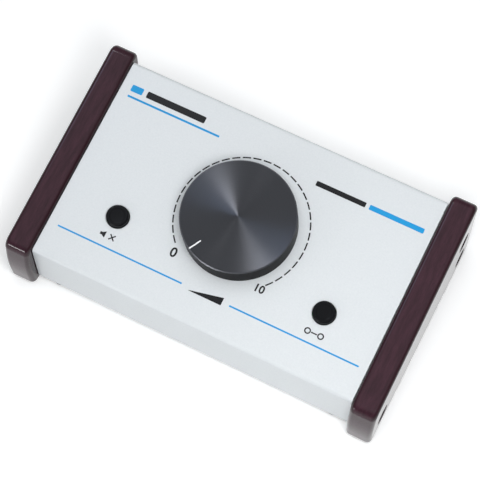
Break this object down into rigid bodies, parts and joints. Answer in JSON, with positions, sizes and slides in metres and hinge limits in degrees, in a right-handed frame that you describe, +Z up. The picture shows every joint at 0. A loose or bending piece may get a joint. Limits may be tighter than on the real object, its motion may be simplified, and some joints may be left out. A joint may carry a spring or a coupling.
{
  "type": "studio monitor controller",
  "caption": "Desktop monitor controller: sloping painted metal body between wooden cheeks, large volume knob, round push buttons and audio sockets at the rear.",
  "frame": {"origin": "on the table, under the middle of the controller's bounding box", "axes": "+Z up, +X to the user's right across the panel, +Y to the rear, where the sockets are"},
  "size_m": [0.1688, 0.1003, 0.0535],
  "materials": {
    "silver_paint": "fine silver-white powder coat, satin",
    "zinc_steel": "zinc-plated sheet steel",
    "lacquered_wood": "dark reddish-brown stain under gloss lacquer",
    "foot_rubber": "matt black rubber",
    "black_anodised": "spun face, black anodised",
    "white_fill": "white paint filled into the pointer groove",
    "black_ink": "screen-printed black ink",
    "blue_ink": "screen-printed blue ink",
    "black_steel": "black-oxide steel",
    "bright_steel": "nickel-plated steel",
    "contact_silver": "silver-plated contact",
    "button_plastic": "black moulded cap, satin",
    "socket_plastic": "black glass-filled nylon",
    "switch_plastic": "dark grey moulded plastic",
    "circuit_laminate": "green solder mask on glass-epoxy laminate",
    "ribbon_grey": "grey PVC ribbon cable"
  },
  "bodies": {
    "body": {"body_shell": "silver_paint", "bottom_tray": "zinc_steel", "left_cheek": "lacquered_wood", "right_cheek": "lacquered_wood", "left_cheek_screw_front": "black_steel", "left_cheek_screw_rear_lower": "black_steel", "left_cheek_screw_rear_upper": "black_steel", "right_cheek_screw_front": "black_steel", "right_cheek_screw_rear_lower": "black_steel", "right_cheek_screw_rear_upper": "black_steel", "foot_front_left": "foot_rubber", "foot_front_right": "foot_rubber", "foot_rear_left": "foot_rubber", "foot_rear_right": "foot_rubber", "foot_screw_front_left": "bright_steel", "foot_screw_front_right": "bright_steel", "foot_screw_rear_left": "bright_steel", "foot_screw_rear_right": "bright_steel", "pot_case": "zinc_steel", "pot_washer": "bright_steel", "pot_nut": "bright_steel", "left_switch_body": "switch_plastic", "left_switch_spring": "bright_steel", "right_switch_body": "switch_plastic", "right_switch_spring": "bright_steel", "control_board": "circuit_laminate", "left_board_pillar": "bright_steel", "right_board_pillar": "bright_steel", "left_board_screw": "bright_steel", "right_board_screw": "bright_steel", "input_left_shell": "socket_plastic", "input_left_contacts": "socket_plastic", "input_left_screw_upper": "black_steel", "input_left_screw_lower": "black_steel", "input_right_shell": "socket_plastic", "input_right_contacts": "socket_plastic", "input_right_screw_upper": "black_steel", "input_right_screw_lower": "black_steel", "output_left_shell": "socket_plastic", "output_left_pins": "contact_silver", "output_left_screw_upper": "black_steel", "output_left_screw_lower": "black_steel", "output_right_shell": "socket_plastic", "output_right_pins": "contact_silver", "output_right_screw_upper": "black_steel", "output_right_screw_lower": "black_steel", "mini_jack": "socket_plastic", "mini_jack_nut": "bright_steel", "connector_board": "circuit_laminate", "ribbon_cable": "ribbon_grey"},
    "volume": {"volume_knob": "black_anodised", "knob_set_screw": "black_steel", "pot_shaft": "bright_steel"},
    "left_button": {"left_button_cap": "button_plastic", "left_switch_stem": "switch_plastic"},
    "right_button": {"right_button_cap": "button_plastic", "right_switch_stem": "switch_plastic"}
  },
  "joints": [
    {"name": "volume_turn", "type": "hinge", "parent": "body", "child": "volume", "pos_m": [0, 0.0005, 0.03809], "axis": [0, 0.1392, -0.9903], "range_deg": [0, 300]},
    {"name": "left_button_push", "type": "slide", "parent": "body", "child": "left_button", "axis": [0, 0.1392, -0.9903], "range_m": [0, 0.002], "stiffness_N_per_m": 400, "springref_m": -0.003, "deforming": ["left_switch_spring"]},
    {"name": "right_button_push", "type": "slide", "parent": "body", "child": "right_button", "axis": [0, 0.1392, -0.9903], "range_m": [0, 0.002], "stiffness_N_per_m": 400, "springref_m": -0.003, "deforming": ["right_switch_spring"]}
  ]
}
